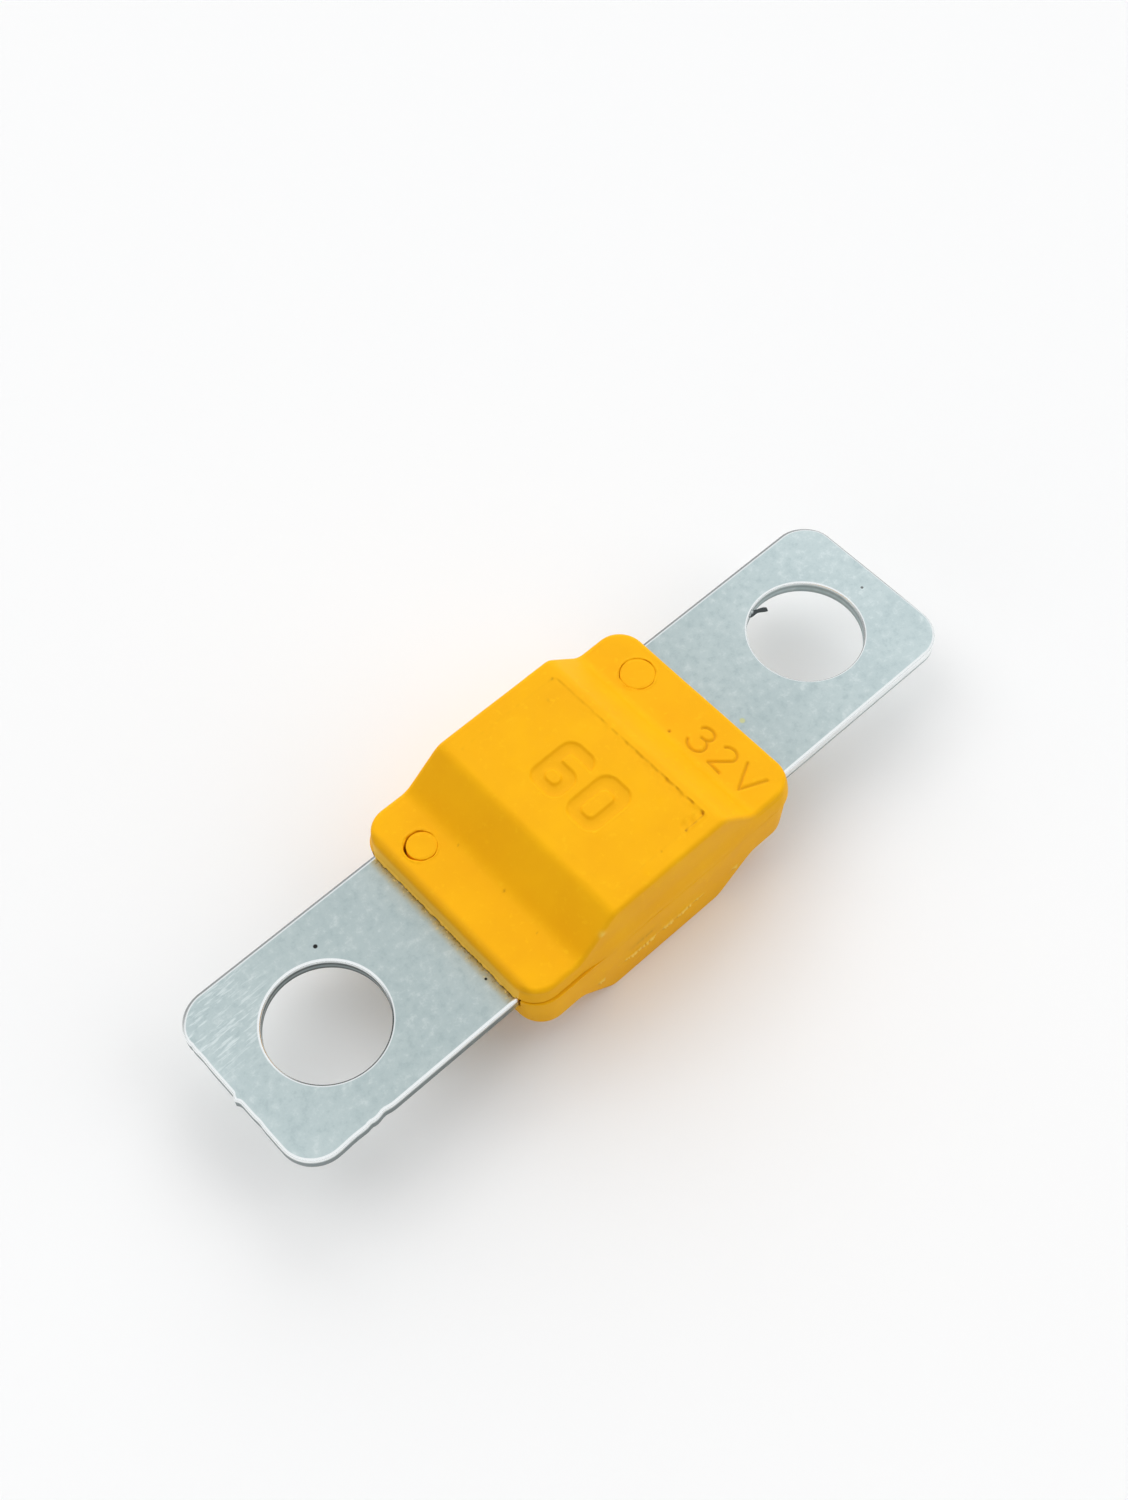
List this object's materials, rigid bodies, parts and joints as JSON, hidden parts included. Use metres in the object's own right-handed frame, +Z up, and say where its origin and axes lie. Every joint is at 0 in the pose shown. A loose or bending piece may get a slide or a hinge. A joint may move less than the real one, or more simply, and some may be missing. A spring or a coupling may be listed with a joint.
{
  "type": "bolt down strip fuse",
  "caption": "Bolt down strip fuse: a plated metal strip with a bolt hole in each tab, clamped between moulded yellow shells that enclose its fusible neck.",
  "frame": {"origin": "under the middle of the fuse, in the plane of the lower housing's face that it stands on", "axes": "+X along the strip, +Z up through the housing's raised blocks, +Y across the strip towards the pin ends on top"},
  "size_m": [0.04, 0.0122, 0.0073],
  "materials": {
    "plated_metal": "bright plating with fine brush lines along the strip",
    "yellow_plastic": "moulded plastic, fine satin"
  },
  "bodies": {
    "root": {"fuse_strip": "plated_metal", "lower_housing": "yellow_plastic", "upper_housing": "yellow_plastic"}
  },
  "joints": []
}
